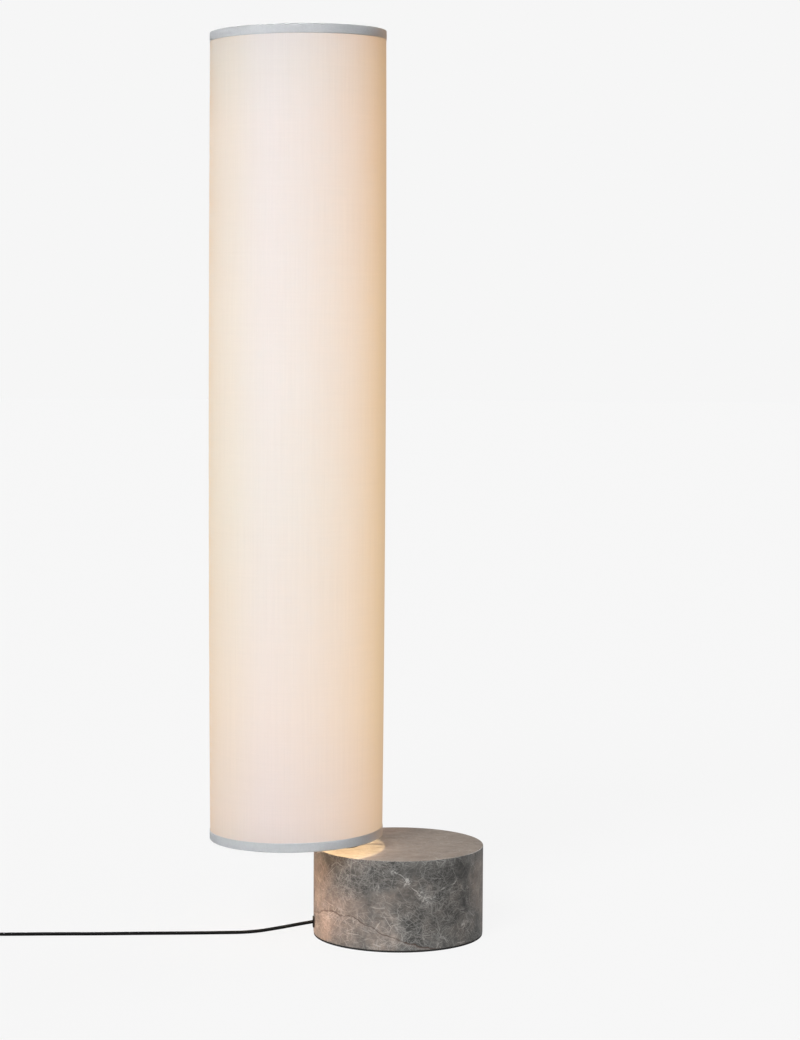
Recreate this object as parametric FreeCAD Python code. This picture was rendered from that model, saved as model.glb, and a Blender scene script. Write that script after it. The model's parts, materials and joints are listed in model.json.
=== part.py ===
import FreeCAD, Part
import math
import os

# Column floor lamp: a tall fabric drum shade hung off-centre beside and over a low round stone base.
# Frame: origin at the centre of the base's underside on the floor, +Z up, the shade's axis lies toward -X.
# All lengths are in millimetres.

# ---------------------------------------------------------------- driving dimensions
TOTAL_H = 1200.0          # floor to the highest point of the shade's upper rim
BASE_R = 114.0            # stone radius
BASE_TOP = 121.2          # top face of the stone
BASE_EDGE = 1.1           # eased edges of the stone
PAD_R = 113.6             # rubber foot pad
PAD_T = 2.0
SHADE_X = -138.2          # axis of the shade
SHADE_Z0 = 136.3          # lower rim at the shade's axis: 15 mm above the stone
SHADE_R_END = 114.9       # fabric radius at the rims
SHADE_R_MID = 116.8       # fabric radius at half height: the sheet bellies slightly
SLOPE_TOP = 0.018         # both rims climb towards the stem: the far side of the shade sags on its arms
SLOPE_BOTTOM = 0.024
FABRIC_T = 0.5
LINER_T = 0.8
TRIM_T = 0.4              # edge tape
TRIM_H = 12.1             # height of the tape outside
TRIM_FOLD = 1.4           # tape turned in over the rim
RING_WIRE_R = 2.5         # shade rings
ARM_R = 2.0               # shade carrier arms
STEM_X = -76.6            # stem axis, 62 mm off the shade's axis
STEM_R = 8.0
STEM_BORE_R = 6.5
STEM_Z0 = 126.2
STEM_Z1 = 1150.0
FLANGE_R = 22.8
ROD_R = 5.0               # hollow M10 rod
ROD_BORE_R = 3.5
POCKET_R = 28.0           # wiring pocket in the underside: a slot with round ends
POCKET_X0, POCKET_X1 = -70.0, 6.0
POCKET_TOP = 44.0
PLATE_R = 42.0            # cover plate over the pocket
PLATE_X0, PLATE_X1 = -64.0, 0.0
PLATE_T = 2.0
GLAND_Z = 17.9            # cord entry above the floor
GLAND_W, GLAND_H, GLAND_T = 12.0, 14.8, 1.5
CORD_R = 2.3              # 4.6 mm round cord
HOLDER_Z = (473.0, 796.0, 1119.0)       # height of each lampholder bracket; the bulbs hang from them
HOLDER_NAMES = ("lower", "middle", "upper")
SW_X, SW_Y = -616.0, 45.2                 # foot switch centre
SW_HALF, SW_REACH = 20.0, 22.0            # half width, and the reach of the centre line from the middle
SW_CORD_Z = 5.2
SW_TRAVEL = 3.0
COIL_X, COIL_Y = -706.0, 14.2             # centre of the coiled spare cord
COIL_RI, COIL_RO = 19.2, 33.4
COIL_Z0, COIL_Z1 = 0.8, 18.4
PLUG_X, PLUG_FACE_Y = -728.2, -103.0      # the plug points to -Y; this is the plane of its pin face
PLUG_T = 13.7
PIN_R, PIN_L, PIN_GAP = 2.0, 19.0, 18.6

# Route of the free cord, gland to switch: out of the gland, down to the floor, away to the side.
ROUTE_A = [
    (-115.5, 0.0, 17.9), (-132.0, 1.4, 15.2), (-160.0, 6.6, 9.3), (-196.0, 13.3, 2.8),
    (-238.0, 17.1, 2.3), (-290.0, 20.9, 2.3), (-346.0, 26.3, 2.3), (-402.0, 30.2, 2.3),
    (-456.0, 36.5, 2.3), (-508.0, 41.0, 2.3), (-540.0, 43.6, 2.4), (-560.0, 45.0, 5.2),
    (-578.0, 45.2, 5.2),
]
# Switch to the coil's outer turn.
ROUTE_B = [
    (-654.0, 45.2, 5.2), (-667.0, 45.2, 5.2), (-684.0, 45.0, 3.4), (-702.0, 45.1, 3.1),
]
# Coil to the plug.
ROUTE_C = [
    (-736.8, 14.0, 16.0), (-737.0, 1.0, 15.0), (-735.2, -12.4, 11.9), (-731.0, -25.1, 8.4),
    (-728.5, -34.5, 6.9), (-728.2, -44.0, 6.85),
]

V = FreeCAD.Vector
UP = V(0, 0, 1)
parts = {}


# ---------------------------------------------------------------- helpers
def cyl(r, z0, z1, x=0.0, y=0.0):
    return Part.makeCylinder(r, z1 - z0, V(x, y, z0), UP)


def pipe(ro, ri, z0, z1, x=0.0, y=0.0):
    return cyl(ro, z0, z1, x, y).cut(cyl(ri, z0 - 1, z1 + 1, x, y))


def cone(r0, r1, z0, z1, x=0.0, y=0.0):
    return Part.makeCone(r0, r1, z1 - z0, V(x, y, z0), UP)


def xcyl(r, x0, x1, y=0.0, z=0.0):
    return Part.makeCylinder(r, x1 - x0, V(x0, y, z), V(1, 0, 0))


def ycyl(r, y0, y1, x=0.0, z=0.0):
    return Part.makeCylinder(r, y1 - y0, V(x, y0, z), V(0, 1, 0))


def box(x0, y0, z0, x1, y1, z1):
    return Part.makeBox(x1 - x0, y1 - y0, z1 - z0, V(x0, y0, z0))


def slot(x0, x1, r, z0, z1, y=0.0):
    """An upright slot with round ends, its centre line from x0 to x1."""
    return box(x0, y - r, z0, x1, y + r, z1).fuse([cyl(r, z0, z1, x0, y), cyl(r, z0, z1, x1, y)]).removeSplitter()


def hexagon(flat, z0, z1, x=0.0, y=0.0):
    r = flat / math.sqrt(3)
    pts = [V(x + r * math.cos(math.radians(60 * k)), y + r * math.sin(math.radians(60 * k)), z0) for k in range(7)]
    return Part.Face(Part.makePolygon(pts)).extrude(V(0, 0, z1 - z0))


def route(points, name):
    """Straight runs joined by tangent arcs, each radius 0.45 of the shorter run over tan(half the turn)."""
    pts = [V(*p) for p in points]
    edges, radii, start = [], [], pts[0]
    for i in range(1, len(pts) - 1):
        a, b, c = pts[i - 1] - pts[i], pts[i], pts[i + 1] - pts[i]
        t = 0.45 * min(a.Length, c.Length)
        u, w = V(a), V(c)
        u.normalize()
        w.normalize()
        turn = math.pi - u.getAngle(w)
        r = t / math.tan(turn / 2)
        bis = u + w
        bis.normalize()
        p, q, m = b + u * t, b + w * t, b + bis * (r / math.cos(turn / 2) - r)
        edges += [Part.LineSegment(start, p).toShape(), Part.Arc(p, m, q).toShape()]
        radii.append(r)
        start = q
    edges.append(Part.LineSegment(start, pts[-1]).toShape())
    w = Part.Wire(edges)
    runs = [round((pts[i + 1] - pts[i]).Length, 1) for i in range(len(pts) - 1)]
    print(name, "length", round(w.Length, 1), "runs", runs, "radii", [round(r) for r in radii])
    return w


def cord(points, r, name):
    path = route(points, name)
    d = V(*points[1]) - V(*points[0])
    profile = Part.Wire([Part.makeCircle(r, V(*points[0]), d)])
    solid = path.makePipeShell([profile], True, False)
    if solid.Volume < 0:
        solid.reverse()
    print("   volume", round(solid.Volume), "section x length", round(math.pi * r * r * path.Length), solid.isValid())
    return solid


def add(name, shape):
    shape = shape.removeSplitter() if shape.ShapeType != "Solid" or len(shape.Faces) > 6 else shape
    solids = shape.Solids
    assert solids, name
    out = solids[0] if len(solids) == 1 else Part.makeCompound(solids)
    if not all(s.isValid() for s in solids):
        print("NOT VALID", name)
    parts[name] = out


# ---------------------------------------------------------------- base: stone, pad, cover plate
stone = cyl(BASE_R, PAD_T, BASE_TOP)
rims = [e for e in stone.Edges if len(e.Vertexes) == 1 and e.Length > 600]
stone = stone.makeFillet(BASE_EDGE, rims)
stone = stone.cut(cyl(ROD_R + 0.6, POCKET_TOP - 1, BASE_TOP + 1, STEM_X))
stone = stone.cut(slot(POCKET_X0, POCKET_X1, POCKET_R, PAD_T - 1, POCKET_TOP))
stone = stone.cut(slot(PLATE_X0, PLATE_X1, PLATE_R, PAD_T - 1, PAD_T + PLATE_T))
stone = stone.cut(xcyl(4.5, -BASE_R - 2, -96.0, 0, GLAND_Z))
COVER_SCREWS = [(x, s * 35.0) for x in (-52.0, -12.0) for s in (-1, 1)]
for x, y in COVER_SCREWS:
    stone = stone.cut(cyl(2.0, PAD_T, 12.0, x, y))
add("marble_base", stone)

add("foot_pad", cyl(PAD_R, 0, PAD_T))

plate = slot(PLATE_X0, PLATE_X1, PLATE_R - 0.2, PAD_T, PAD_T + PLATE_T)
for x, y in COVER_SCREWS:
    plate = plate.cut(cone(3.9, 2.1, PAD_T, PAD_T + 1.8, x, y)).cut(cyl(2.1, PAD_T, PAD_T + 3, x, y))
add("cover_plate", plate)

# countersunk screws in the stone's tapped holes
add("cover_screws", Part.makeCompound([
    cone(3.7, 2.0, PAD_T + 0.05, PAD_T + 1.75, x, y).fuse(cyl(2.0, PAD_T + 1.7, 11.0, x, y)) for x, y in COVER_SCREWS]))

# ---------------------------------------------------------------- stem clamp inside the pocket
inner = slot(POCKET_X0, POCKET_X1 - 2, POCKET_R - 3, POCKET_TOP - 2.5, POCKET_TOP)
inner = inner.cut(cyl(ROD_R + 0.4, POCKET_TOP - 4, POCKET_TOP + 1, STEM_X))
ANCHOR_SCREWS = [(-40.0, -17.0), (-40.0, 1.0)]
for x, y in ANCHOR_SCREWS:
    inner = inner.cut(cyl(1.5, POCKET_TOP - 4, POCKET_TOP + 1, x, y))
inner = inner.cut(cyl(1.5, POCKET_TOP - 4, POCKET_TOP + 1, 14.0, 0))
add("clamp_plate", inner)
add("stem_nut", hexagon(17.0, POCKET_TOP - 10.5, POCKET_TOP - 2.5, STEM_X).cut(cyl(ROD_R, 0, 60, STEM_X)))
add("stem_rod", pipe(ROD_R, ROD_BORE_R, 30.0, 146.0, STEM_X))

# ---------------------------------------------------------------- cord entry, anchor, terminals
gx = -BASE_R - GLAND_T
gland = cyl(BASE_R + GLAND_T, 0, 60).cut(cyl(BASE_R, -1, 61))
pad = box(-130, -GLAND_W / 2, GLAND_Z - GLAND_H / 2, -100, GLAND_W / 2, GLAND_Z + GLAND_H / 2)
pad = pad.makeFillet(3.0, [e for e in pad.Edges if abs(e.Vertexes[0].X - e.Vertexes[1].X) > 20])
gland = gland.common(pad)
neck = xcyl(4.45, -BASE_R - 1.5, -94.0, 0, GLAND_Z)
barb = Part.makeCone(5.6, 4.5, 3.0, V(-97.5, 0, GLAND_Z), V(1, 0, 0))
gland = gland.fuse([neck, barb]).cut(xcyl(CORD_R + 0.05, -140, -80, 0, GLAND_Z))
add("cord_gland", gland)

ANCHOR_Y = -8.0
anchor = box(-46, -21, GLAND_Z, -34, 5, POCKET_TOP - 2.5)
saddle = box(-46, -21, 13.5, -34, 5, GLAND_Z)
hole = xcyl(CORD_R, -50, -30, ANCHOR_Y, GLAND_Z)
for x, y in ANCHOR_SCREWS:
    anchor = anchor.cut(cyl(1.5, 0, 60, x, y))
    saddle = saddle.cut(cyl(1.5, 0, 60, x, y))
add("cord_anchor", anchor.cut(hole))
add("cord_saddle", saddle.cut(hole))
add("anchor_screws", Part.makeCompound([
    cyl(2.9, 11.3, 13.5, x, y).cut(box(x - 4, y - 0.4, 11, x + 4, y + 0.4, 12.2)).fuse(cyl(1.5, 13.5, POCKET_TOP, x, y))
    for x, y in ANCHOR_SCREWS]))

block = box(2, -13, 29.5, 26, 13, POCKET_TOP - 2.5)
block = block.makeFillet(1.0, [e for e in block.Edges if abs(e.Vertexes[0].Z - e.Vertexes[1].Z) > 5])
TERMINALS = [(x, y) for x in (7.0, 21.0) for y in (-7.0, 7.0)]
for x, y in TERMINALS:
    block = block.cut(cyl(1.9, 29, 33, x, y))
block = block.cut(cyl(1.6, 29, 50, 14, 0))
add("terminal_block", block)
add("terminal_screws", Part.makeCompound(
    [cyl(1.85, 30.0, 33.0, x, y).cut(box(x - 3, y - 0.3, 29, x + 3, y + 0.3, 30.8)) for x, y in TERMINALS]
    + [cyl(2.6, 27.6, 29.5, 14, 0).fuse(cyl(1.5, 29.5, POCKET_TOP, 14, 0))]))

add("inlet_cord", cord([
    (gx, 0, GLAND_Z), (-89.0, 0, GLAND_Z), (-73.0, -5.0, GLAND_Z), (-56.0, -8.0, GLAND_Z),
    (-31.0, -8.0, GLAND_Z), (-14.0, -7.4, 24.5), (-4.0, -7.05, 33.0), (4.0, -7.0, 36.6)], CORD_R, "inlet_cord").cut(block))

# ---------------------------------------------------------------- stem
flange = cyl(FLANGE_R, BASE_TOP, STEM_Z0, STEM_X)
flange = flange.makeChamfer(0.8, [e for e in flange.Edges if len(e.Vertexes) == 1 and e.Vertexes[0].Z > STEM_Z0 - 0.1 and e.Length > 100])
add("stem_flange", flange.cut(cyl(ROD_R + 0.2, 100, 150, STEM_X)))
# tube with a brazed-in threaded foot that the rod screws into
stem = pipe(STEM_R, STEM_BORE_R, STEM_Z0, STEM_Z1, STEM_X).fuse(pipe(STEM_BORE_R + 0.5, ROD_R, STEM_Z0, STEM_Z0 + 22, STEM_X))
for z in HOLDER_Z:
    stem = stem.cut(xcyl(3.2, STEM_X - 12, STEM_X, 0, z))
add("stem_tube", stem)
add("stem_top_plug", cyl(STEM_BORE_R, STEM_Z1 - 25, STEM_Z1, STEM_X).fuse(cyl(ROD_R, STEM_Z1, STEM_Z1 + 15, STEM_X)))
knob = cyl(11.0, STEM_Z1 + 4, STEM_Z1 + 18, STEM_X)
knob = knob.makeFillet(2.0, [e for e in knob.Edges if len(e.Vertexes) == 1 and e.Vertexes[0].Z > STEM_Z1 + 17])
for k in range(16):
    a = math.radians(22.5 * k)
    knob = knob.cut(cyl(0.9, STEM_Z1 + 3, STEM_Z1 + 15, STEM_X + 11.3 * math.cos(a), 11.3 * math.sin(a)))
add("finial", knob.cut(cyl(ROD_R, STEM_Z1, STEM_Z1 + 15.5, STEM_X)))

# ---------------------------------------------------------------- shade: rings, carriers, liner, fabric, tape
ROUND = V(SHADE_X, 0, 0)
TRIM_R = SHADE_R_END + TRIM_T + 0.1
SHADE_Z1 = TOTAL_H - SLOPE_TOP * TRIM_R          # upper rim at the shade's axis
z0, z1, zm = SHADE_Z0 + TRIM_T, SHADE_Z1 - TRIM_T, (SHADE_Z0 + SHADE_Z1) / 2


def between(za, slope_a, zb, slope_b):
    """The space between two planes that cut the shade's axis at za and zb and climb towards +X."""
    w = 140.0
    pts = [V(SHADE_X - w, -w, za - slope_a * w), V(SHADE_X + w, -w, za + slope_a * w),
           V(SHADE_X + w, -w, zb + slope_b * w), V(SHADE_X - w, -w, zb - slope_b * w)]
    return Part.Face(Part.makePolygon(pts + [pts[0]])).extrude(V(0, 2 * w, 0))


def barrel(outer, inner):
    """A tall sleeve that bellies like the fabric and is cut along both sloping rims, both radii given at the rims."""
    x, lo, hi = SHADE_X, z0 - 4.0, z1 + 4.0
    out = SHADE_R_MID - SHADE_R_END
    near = 0.06 * out                    # already this far out where the belly starts, 16 mm from each rim
    lines = []
    for r in (outer, inner):
        a, b, m = V(x + r, 0, lo), V(x + r + near, 0, z0 + 16), V(x + r + out, 0, zm)
        c, d = V(x + r + near, 0, z1 - 16), V(x + r, 0, hi)
        lines += [Part.LineSegment(a, b).toShape(), Part.Arc(b, m, c).toShape(), Part.LineSegment(c, d).toShape()]
    for z in (lo, hi):
        lines.append(Part.LineSegment(V(x + outer, 0, z), V(x + inner, 0, z)).toShape())
    w = Part.Wire(Part.__sortEdges__(lines))
    return Part.Face(w).revolve(ROUND, UP, 360).common(between(z0, SLOPE_BOTTOM, z1, SLOPE_TOP))


fabric = barrel(SHADE_R_END, SHADE_R_END - FABRIC_T)
liner = barrel(SHADE_R_END - FABRIC_T, SHADE_R_END - FABRIC_T - LINER_T)
RIM_IN = SHADE_R_END - FABRIC_T - LINER_T
add("shade_fabric", fabric)
add("shade_liner", liner)


def tape(zr, slope, s):
    """Edge tape: a channel over the sloping rim, its walls going the way of s."""
    def wall(ro, ri, height):
        a, b = sorted((zr, zr + s * height))
        return pipe(ro, ri, zr - 20, zr + 20, SHADE_X).common(between(a, slope, b, slope))

    t = wall(TRIM_R, SHADE_R_END, TRIM_H)
    t = t.fuse([wall(TRIM_R, RIM_IN - TRIM_T, TRIM_T), wall(RIM_IN, RIM_IN - TRIM_T, TRIM_FOLD)])
    return t.cut(fabric).cut(liner)


add("shade_bottom_trim", tape(SHADE_Z0, SLOPE_BOTTOM, 1))
add("shade_top_trim", tape(SHADE_Z1, SLOPE_TOP, -1))

RING_R = RIM_IN - RING_WIRE_R
SLOPES = {"bottom": SLOPE_BOTTOM, "top": SLOPE_TOP}
ring_z = {"bottom": SHADE_Z0 + TRIM_FOLD + RING_WIRE_R + 0.1, "top": SHADE_Z1 - TRIM_FOLD - RING_WIRE_R - 0.1}
rings = {k: Part.makeTorus(RING_R, RING_WIRE_R, V(SHADE_X, 0, z), UP) for k, z in ring_z.items()}
for k, ring in rings.items():
    ring.rotate(V(SHADE_X, 0, ring_z[k]), V(0, -1, 0), math.degrees(math.atan(SLOPES[k])))


def arms(hub_z, ring_at, slope, bend):
    """Three wires from the hub on the stem out to the ring they are welded to, level first and then sloping."""
    out = []
    for deg in (0, 120, 240):
        dx = RING_R * math.cos(math.radians(deg))
        q = V(SHADE_X + dx, RING_R * math.sin(math.radians(deg)), ring_at + slope * dx)
        h = V(STEM_X, 0, hub_z)
        flat = V(q.x - h.x, q.y - h.y, 0)
        reach = flat.Length
        flat.normalize()
        a, b = h + flat * 11.0, h + flat * (reach - bend)
        t = min(0.4 * (b - a).Length, 8.0)
        u, w = a - b, q - b
        u.normalize()
        w.normalize()
        turn = math.pi - u.getAngle(w)
        bis = u + w
        bis.normalize()
        r = t / math.tan(turn / 2)
        path = Part.Wire([Part.LineSegment(a, b + u * t).toShape(),
                          Part.Arc(b + u * t, b + bis * (r / math.cos(turn / 2) - r), b + w * t).toShape(),
                          Part.LineSegment(b + w * t, q).toShape()])
        out.append(path.makePipeShell([Part.Wire([Part.makeCircle(ARM_R, a, flat)])], True, False))
    return out


hub = pipe(14.0, ROD_R + 0.2, STEM_Z1, STEM_Z1 + 4, STEM_X)
spider = hub.fuse(arms(STEM_Z1 + 2, ring_z["top"], SLOPE_TOP, 27.0))
spider = spider.fuse(rings["top"]).cut(cyl(ROD_R + 0.2, STEM_Z1 - 1, STEM_Z1 + 5, STEM_X))
add("shade_top_frame", spider)

HUB_Z = 150.0
hub = pipe(13.0, STEM_R, HUB_Z, HUB_Z + 12, STEM_X)
spider = hub.fuse(arms(HUB_Z + 6, ring_z["bottom"], SLOPE_BOTTOM, 22.0)).fuse(rings["bottom"]).cut(cyl(STEM_R, HUB_Z - 1, HUB_Z + 13, STEM_X))
SET_A = math.radians(60)
SET = [(HUB_Z + 6, SET_A)] + [(z, 0.0) for z in HOLDER_Z]


def radial(r, r0, r1, z, a):
    d = V(math.cos(a), math.sin(a), 0)
    return Part.makeCylinder(r, r1 - r0, V(STEM_X, 0, z) + d * r0, d)


spider = spider.cut(radial(2.0, STEM_R - 1, 20, HUB_Z + 6, SET_A))
add("shade_bottom_frame", spider)

# ---------------------------------------------------------------- lampholders and bulbs on the shade's axis
def hang(shape, z):
    """Drawn standing on the height z, then turned over so that it hangs from it."""
    shape.rotate(V(0, 0, z), V(1, 0, 0), 180)
    return shape


for z, which in zip(HOLDER_Z, HOLDER_NAMES):
    b = cyl(12.5, z - 7, z + 7, STEM_X).fuse([xcyl(5.0, SHADE_X, STEM_X, 0, z), cyl(10.5, z - 7, z + 7, SHADE_X)])
    b = b.cut(cyl(STEM_R, z - 8, z + 8, STEM_X)).cut(xcyl(3.2, SHADE_X - 3, STEM_X, 0, z))
    b = b.cut(cyl(5.0, z + 4, z + 8, SHADE_X)).cut(cyl(3.0, z, z + 5, SHADE_X)).cut(radial(2.0, STEM_R - 1, 20, z, 0.0))
    add("lampholder_bracket_" + which, hang(b, z))
    cap = cyl(5.0, z + 4, z + 7.5, SHADE_X).fuse([cone(11.0, 16.0, z + 7, z + 17, SHADE_X), cyl(16.0, z + 17, z + 34, SHADE_X)])
    cap = cap.cut(cyl(14.5, z + 15, z + 35, SHADE_X)).cut(cyl(3.0, z + 3, z + 16, SHADE_X))
    add("lampholder_cap_" + which, hang(cap, z))
    core = cyl(14.4, z + 15, z + 27, SHADE_X).fuse(cyl(4.0, z + 27, z + 28, SHADE_X))
    add("lampholder_core_" + which, hang(core, z))
    sleeve = cyl(18.5, z + 24, z + 56, SHADE_X)
    sleeve = sleeve.makeFillet(1.5, [e for e in sleeve.Edges if len(e.Vertexes) == 1 and e.Vertexes[0].Z > z + 55])
    sleeve = sleeve.cut(cyl(16.0, z + 23, z + 34, SHADE_X)).cut(cyl(13.6, z + 33, z + 57, SHADE_X))
    add("lampholder_sleeve_" + which, hang(sleeve, z))
    screw = cyl(4.0, z + 28, z + 30.6, SHADE_X).fuse([cone(6.0, 12.0, z + 30.5, z + 33.5, SHADE_X), cyl(12.6, z + 33.5, z + 52, SHADE_X), cyl(13.3, z + 52, z + 55, SHADE_X)])
    for k in range(5):
        screw = screw.fuse(Part.makeTorus(12.3, 0.8, V(SHADE_X, 0, z + 36 + 3.2 * k), UP))
    add("bulb_cap_" + which, hang(screw, z))
    zc = z + 105
    rt = math.sqrt(30.0 ** 2 - 12.0 ** 2)
    outer = cone(12.4, rt, z + 55, zc - 12, SHADE_X).fuse(Part.makeSphere(30.0, V(SHADE_X, 0, zc)))
    ri = math.sqrt(29.0 ** 2 - 12.0 ** 2)
    hollow = cone(11.7, ri, z + 56, zc - 12, SHADE_X).fuse(Part.makeSphere(29.0, V(SHADE_X, 0, zc)))
    add("bulb_glass_" + which, hang(outer.cut(hollow), z))

add("set_screws", Part.makeCompound([
    radial(1.98, STEM_R, 12.5, z, a).cut(radial(1.0, 10.8, 14, z, a)) for z, a in SET]))

# harness: from the terminals down and into the rod, up the stem, a branch to each lampholder
LEAD_R = 2.0
lead = cord([(4.0, 6.95, 37.0), (-5.0, 7.2, 32.5), (-17.0, 9.6, 24.5), (-34.0, 12.6, 18.6), (-54.0, 12.0, 15.6),
             (-68.5, 6.4, 17.2), (-75.6, 1.2, 24.2), (STEM_X, 0.0, 36.0), (STEM_X, 0.0, 50.0)], LEAD_R, "harness").cut(block)
lead = lead.fuse(cyl(LEAD_R + 0.3, 49.0, HOLDER_Z[2] + 4, STEM_X))
for z in HOLDER_Z:
    lead = lead.fuse([xcyl(1.6, SHADE_X, STEM_X, 0, z), cyl(1.6, z - 15, z, SHADE_X), Part.makeSphere(2.1, V(SHADE_X, 0, z))])
add("wiring_harness", lead)

# ---------------------------------------------------------------- free cord, coil, tie
add("power_cord", cord(ROUTE_A, CORD_R, "power_cord").cut(box(gx, -9, 10, gx + 5, 9, 30)))
add("power_cord_link", cord(ROUTE_B, CORD_R, "power_cord_link"))
add("power_cord_tail", cord(ROUTE_C, CORD_R, "power_cord_tail"))
coil = cyl(COIL_RO, COIL_Z0, COIL_Z1, COIL_X, COIL_Y)
coil = coil.cut(cyl(COIL_RI, COIL_Z0 - 1, COIL_Z1 + 1, COIL_X, COIL_Y))
coil = coil.makeFillet(2.2, [e for e in coil.Edges if len(e.Vertexes) == 1 and e.Length > 100])
tie_a = math.radians(-35)
band = box(COIL_RI - 0.8, -4.5, 0.0, COIL_RO + 0.8, 4.5, COIL_Z1 + 0.8)
band = band.makeFillet(2.6, [e for e in band.Edges if abs(e.Vertexes[0].Y - e.Vertexes[1].Y) > 8])
band.rotate(V(0, 0, 0), UP, math.degrees(tie_a))
band.translate(V(COIL_X, COIL_Y, 0))
add("cord_tie", band.cut(coil))
add("cord_coil", coil)

# ---------------------------------------------------------------- plug
px, py, pz = PLUG_X, PLUG_FACE_Y, PLUG_T / 2
outline = [(-17.6, 0), (17.6, 0), (17.6, 13), (9.0, 31), (7.0, 37), (-7.0, 37), (-9.0, 31), (-17.6, 13), (-17.6, 0)]
body = Part.Face(Part.makePolygon([V(px + a, py + b, 0) for a, b in outline])).extrude(V(0, 0, PLUG_T))
body = body.makeFillet(2.0, body.Edges)
pins = []
for s in (-1, 1):
    pin = ycyl(PIN_R, py - PIN_L, py, px + s * PIN_GAP / 2, pz)
    pin = pin.makeFillet(1.0, [e for e in pin.Edges if len(e.Vertexes) == 1 and e.Vertexes[0].Y < py - PIN_L + 0.1])
    pins.append(pin.fuse(ycyl(1.5, py, py + 8, px + s * PIN_GAP / 2, pz)))
pins = Part.makeCompound(pins)
body = body.cut(pins)
relief = Part.makeCone(5.2, 3.2, 22, V(px, py + 37, pz), V(0, 1, 0))
for k in range(5):
    ya = py + 39.6 + 3.6 * k
    relief = relief.cut(ycyl(8.0, ya, ya + 1.4, px, pz).cut(ycyl(3.4 + 0.15 * (4 - k), ya - 1, ya + 2, px, pz)))
add("plug_body", body)
add("plug_pins", pins)
add("plug_strain_relief", relief)

# ---------------------------------------------------------------- in-line foot switch
def at(shape):
    shape.translate(V(SW_X, SW_Y, 0))
    return shape


SW_SCREWS = [(-27.0, 11.0), (27.0, -11.0)]
low = slot(-SW_REACH, SW_REACH, SW_HALF, 1.2, 8.0)
low = low.makeFillet(0.8, [e for e in low.Edges if abs(e.CenterOfMass.z - 1.2) < 0.01 and e.Length > 20])
low = low.cut(slot(-SW_REACH, SW_REACH, SW_HALF - 2, 3.2, 9.0))
for x, y in SW_SCREWS:
    low = low.fuse(cyl(4.0, 2.0, 8.0, x, y)).cut(cyl(1.6, 0, 9, x, y)).cut(cyl(3.1, 0, 3.0, x, y))
low = low.cut(xcyl(CORD_R + 0.3, 38.5, 44, 0, SW_CORD_Z)).cut(xcyl(CORD_R + 0.3, -44, -38.5, 0, SW_CORD_Z))
add("switch_base", at(low))
top = slot(-SW_REACH, SW_REACH, SW_HALF, 8.0, 23.0)
top = top.makeFillet(3.2, [e for e in top.Edges if abs(e.CenterOfMass.z - 23.0) < 0.01])
top = top.cut(slot(-SW_REACH, SW_REACH, SW_HALF - 2, 7.0, 21.0))
for x, y in SW_SCREWS:
    top = top.fuse(cyl(3.5, 8.0, 21.5, x, y)).cut(cyl(1.5, 7, 16, x, y))
top = top.cut(cyl(12.35, 15, 30))
add("switch_cover", at(top))
button = cyl(12.0, 18.7, 27.0)
button = button.makeFillet(1.6, [e for e in button.Edges if len(e.Vertexes) == 1 and e.Vertexes[0].Z > 26])
button = button.fuse([cyl(13.6, 18.7, 20.7), cyl(3.5, 14.5, 19.0)])
dish = Part.makeSphere(60.0, V(0, 0, 27.0 + 60.0 - 0.7))
add("switch_button", at(button.cut(dish)))
mech = box(-14, -12, 3.2, 14, 12, 11.0)
mech = mech.makeFillet(1.0, [e for e in mech.Edges if abs(e.Vertexes[0].Z - e.Vertexes[1].Z) > 5])
add("switch_mechanism", at(mech))
turns, wire, coil_r = 5, 0.5, 6.0
h = 18.7 - 11.0 - 2 * wire - 0.1
climb = h / turns / (2 * math.pi)


def on_helix(t):
    """Place and direction on the spring's centre line, t in eighths of a turn."""
    a = math.pi / 4 * t
    return V(coil_r * math.cos(a), coil_r * math.sin(a), climb * a), V(-coil_r * math.sin(a), coil_r * math.cos(a), climb)


pieces = []
for k in range(8 * turns):
    piece = Part.BSplineCurve()
    piece.interpolate([on_helix(k + j / 6.0)[0] for j in range(7)], InitialTangent=on_helix(k)[1], FinalTangent=on_helix(k + 1)[1])
    pieces.append(piece.toShape())
spring = Part.Wire(pieces).makePipeShell([Part.Wire([Part.makeCircle(wire, V(coil_r, 0, 0), on_helix(0)[1])])], True, True)
if spring.Volume < 0:
    spring.reverse()
spring.translate(V(0, 0, 11.0 + wire + 0.05))
add("switch_spring", at(spring))
add("switch_screws", at(Part.makeCompound([
    cyl(2.9, 1.5, 3.0, x, y).cut(box(x - 3, y - 0.4, 1, x + 3, y + 0.4, 2.2)).fuse(cyl(1.5, 3.0, 15.5, x, y)) for x, y in SW_SCREWS])))
add("switch_feet", at(Part.makeCompound([cyl(3.6, 0, 1.2, x, y) for x, y in ((-31, -8), (31, 8), (-14, 12), (14, -12))])))

# ---------------------------------------------------------------- write
os.makedirs("parts", exist_ok=True)
for name, shape in parts.items():
    shape.exportStep("parts/%s.step" % name)
print(len(parts), "nodes")
for name, shape in parts.items():
    bb = shape.BoundBox
    print("%-28s %2d solids  x %8.1f %8.1f  y %7.1f %7.1f  z %7.1f %7.1f  vol %10.0f" % (
        name, len(shape.Solids), bb.XMin, bb.XMax, bb.YMin, bb.YMax, bb.ZMin, bb.ZMax, shape.Volume))
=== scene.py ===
import json
import math
import bpy
import bmesh
from mathutils import Vector, Matrix, noise

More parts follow.
